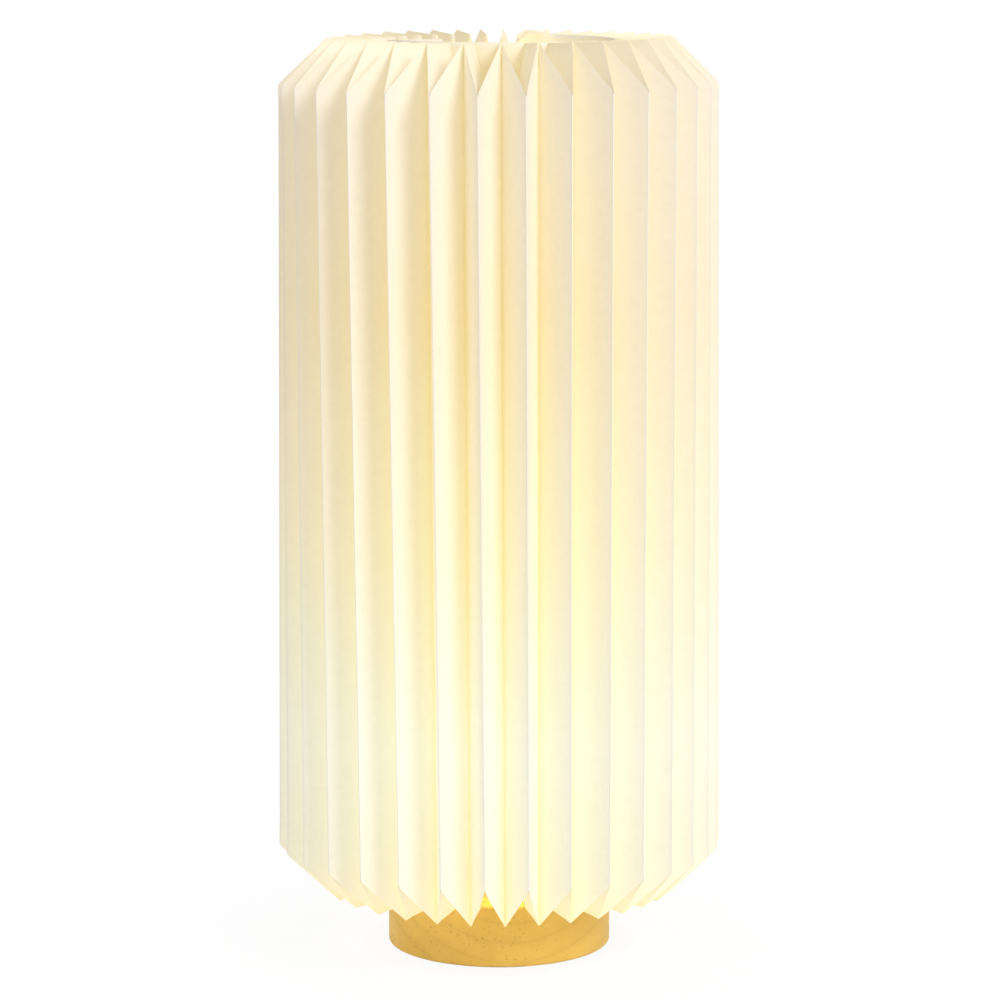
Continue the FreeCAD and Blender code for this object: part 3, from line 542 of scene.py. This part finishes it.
def build_band(material):
    """Open ring of paper with a curled loose end, as one thin skin."""
    columns = BAND_COLUMNS
    rows = BAND_ROWS
    vertices = []
    glow_warmth = []
    for i in range(columns + 1):
        angle = BAND_START + (BAND_END - BAND_START) * i / columns
        top = band_top(angle)
        for j in range(rows + 1):
            up = j / rows
            height = BAND_BOTTOM + (top - BAND_BOTTOM) * up
            wave = noise.noise(Vector((angle * 0.09, up * 2.0, 4.1)))
            radius = BAND_RADIUS - BAND_WAVE * (0.5 + 0.5 * wave)
            radius -= FLAP_CURL * up ** 3 * eased(angle, FLAP_START, FLAP_START + FLAP_RISE)
            vertices.append(tuple(on_lamp(radius, math.radians(angle), height)))
            # painted light: a warmer glow at the loose end and at the front, carried as the paper's depth
            loose = min(max((angle - FLAP_WARMTH_START) / FLAP_WARMTH_RISE, 0.0), 1.0)
            near = math.exp(-(angle / FRONT_WARMTH) ** 2)
            glow_warmth.append(max(loose, near))
    faces = []
    for i in range(columns):
        for j in range(rows):
            a = i * (rows + 1) + j
            faces.append((a, a + rows + 1, a + rows + 2, a + 1))
    band = thin_skin("mouth_band_paper", vertices, faces, {"depth": glow_warmth}, material)
    thicken(band, BAND_PAPER, -1.0)
    return band


# ---------------------------------------------------------------- stage


def seen_rays(tree):
    """Socket that is 1 for rays that see a surface straight, in gloss or through glass."""
    path = tree.nodes.new("ShaderNodeLightPath")
    seen = path.outputs["Is Camera Ray"]
    for kind in ("Is Glossy Ray", "Is Transmission Ray"):
        either = tree.nodes.new("ShaderNodeMath")
        either.operation = "MAXIMUM"
        tree.links.new(seen, either.inputs[0])
        tree.links.new(path.outputs[kind], either.inputs[1])
        seen = either.outputs[0]
    return seen


SHADOW_SHOWN = 0.07
SHADOW_START = 0.050
SHADOW_END = 0.20
FLOOR_HALF = 6.0


def floor_material():
    """Pale floor: it keeps the lamp's shadow close by and shows white to the camera further out."""
    nodes = Nodes("pale_floor")
    seen = seen_rays(nodes.tree)
    white = nodes.add("Emission", Color=(1.0, 1.0, 1.0), Strength=1.0)
    away = nodes.add("VectorMath", out=1, settings={"operation": "LENGTH"}, in0=nodes.place())
    close = nodes.span(away, SHADOW_START, SHADOW_END, SHADOW_SHOWN, 0.0)
    shown = nodes.math("MULTIPLY", seen, nodes.math("SUBTRACT", 1.0, close))
    nodes.surface(Base_Color=(0.80, 0.80, 0.80))
    nodes.shader.inputs["Roughness"].default_value = 0.9
    nodes.shader.inputs["Specular IOR Level"].default_value = 0.1
    mixed = nodes.add("MixShader", Fac=shown, in1=nodes.shader.outputs[0], in2=white)
    nodes.tree.links.new(mixed, nodes.output.inputs["Surface"])
    return nodes.material


def build_stage():
    """Flat square of pale floor under the lamp."""
    mesh = bpy.data.meshes.new("floor")
    corners = [(x * FLOOR_HALF, y * FLOOR_HALF, 0) for x, y in ((-1, -1), (1, -1), (1, 1), (-1, 1))]
    mesh.from_pydata(corners, [], [(0, 1, 2, 3)])
    floor = bpy.data.objects.new("floor", mesh)
    bpy.context.scene.collection.objects.link(floor)
    mesh.materials.append(floor_material())


KEY_PLACE = (1.18, -1.5, 1.7)
KEY_AIM = (0, 0, 0.22)
KEY_SIZE = (0.9, 1.0)
KEY_POWER = 34.0
KEY_COLOUR = (1.0, 0.975, 0.96)
FILL_PLACE = (-1.5, -1.1, 0.25)
FILL_AIM = (0, 0, 0.15)
FILL_SIZE = (1.0, 0.6)
FILL_POWER = 3.5
FILL_COLOUR = (1.0, 0.985, 0.96)
BULB_POWER = 1.7
BULB_COLOUR = (1.0, 0.80, 0.50)
BULB_LIGHT_RADIUS = 0.021
AMBIENT = 0.60
SHOWN_WHITE = 1.0


def area_light(name, location, target, size, power, colour):
    """Soft rectangular lamp aimed at a point."""
    data = bpy.data.lights.new(name, "AREA")
    data.shape = "RECTANGLE"
    data.size, data.size_y = size
    data.energy = power
    data.color = colour
    lamp = bpy.data.objects.new(name, data)
    lamp.location = location
    lamp.rotation_euler = (Vector(target) - Vector(location)).to_track_quat("-Z", "Y").to_euler()
    bpy.context.scene.collection.objects.link(lamp)


def build_lights():
    """A large lamp at the front right, a weak one at the left, the bulb and the world."""
    area_light("key", KEY_PLACE, KEY_AIM, KEY_SIZE, KEY_POWER, KEY_COLOUR)
    area_light("fill", FILL_PLACE, FILL_AIM, FILL_SIZE, FILL_POWER, FILL_COLOUR)
    build_bulb_light()
    build_world()


def build_bulb_light():
    """Light inside the globe, which casts no shadow so that its light gets out."""
    data = bpy.data.lights.new("bulb_light", "POINT")
    data.energy = BULB_POWER
    data.color = BULB_COLOUR
    data.shadow_soft_size = BULB_LIGHT_RADIUS
    data.use_soft_falloff = False
    lamp = bpy.data.objects.new("bulb_light", data)
    lamp.visible_camera = False
    frame["nodes"]["bulb_globe"].visible_shadow = False
    lamp.location = (0, 0, BULB_HEIGHT)
    bpy.context.scene.collection.objects.link(lamp)


def build_world():
    """Even light all round, shown as plain white."""
    world = bpy.data.worlds.new("studio")
    bpy.context.scene.world = world
    world.use_nodes = True
    tree = world.node_tree
    tree.nodes.clear()
    out = tree.nodes.new("ShaderNodeOutputWorld")
    mixed = tree.nodes.new("ShaderNodeMixShader")
    tree.links.new(seen_rays(tree), mixed.inputs[0])
    for place, strength in ((1, AMBIENT), (2, SHOWN_WHITE)):
        background = tree.nodes.new("ShaderNodeBackground")
        background.inputs["Color"].default_value = (1.0, 1.0, 1.0, 1.0)
        background.inputs["Strength"].default_value = strength
        tree.links.new(background.outputs[0], mixed.inputs[place])
    tree.links.new(mixed.outputs[0], out.inputs["Surface"])


CAMERA_DISTANCE = 1.7388
CAMERA_HEIGHT = 0.4743
CAMERA_TILT = 8.887
CAMERA_SIDE = 0.0004
FOCAL_PIXELS = 3939.6
FRAME_PIXELS = 1000
SENSOR = 36.0
VIEW_REACH = 50


def build_camera():
    """Long lens from a little above the shade's top, tilted down at the lamp."""
    data = bpy.data.cameras.new("camera")
    data.sensor_width = SENSOR
    data.lens = FOCAL_PIXELS / FRAME_PIXELS * SENSOR
    data.clip_end = VIEW_REACH
    camera = bpy.data.objects.new("camera", data)
    camera.location = (CAMERA_SIDE, -CAMERA_DISTANCE, CAMERA_HEIGHT)
    camera.rotation_euler = (math.radians(90 - CAMERA_TILT), 0, 0)
    bpy.context.scene.collection.objects.link(camera)
    bpy.context.scene.camera = camera


# ---------------------------------------------------------------- put together


def dress_nodes(materials):
    """Give every carried-over part the finish of its slot."""
    for entry in frame["record"]["subparts"]:
        part = frame["nodes"][entry["node"]]
        part.data.materials.clear()
        part.data.materials.append(materials[entry["material_slot"]])


bpy.context.scene.view_settings.view_transform = "Standard"
materials = make_materials()
dress_nodes(materials)
shade = build_shade(materials["paper"])
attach(shade, "shade")
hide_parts("pleated_shade")
band = build_band(materials["tape_paper"])
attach(band, "shade")
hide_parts("mouth_band")
build_stage()
build_lights()
build_camera()
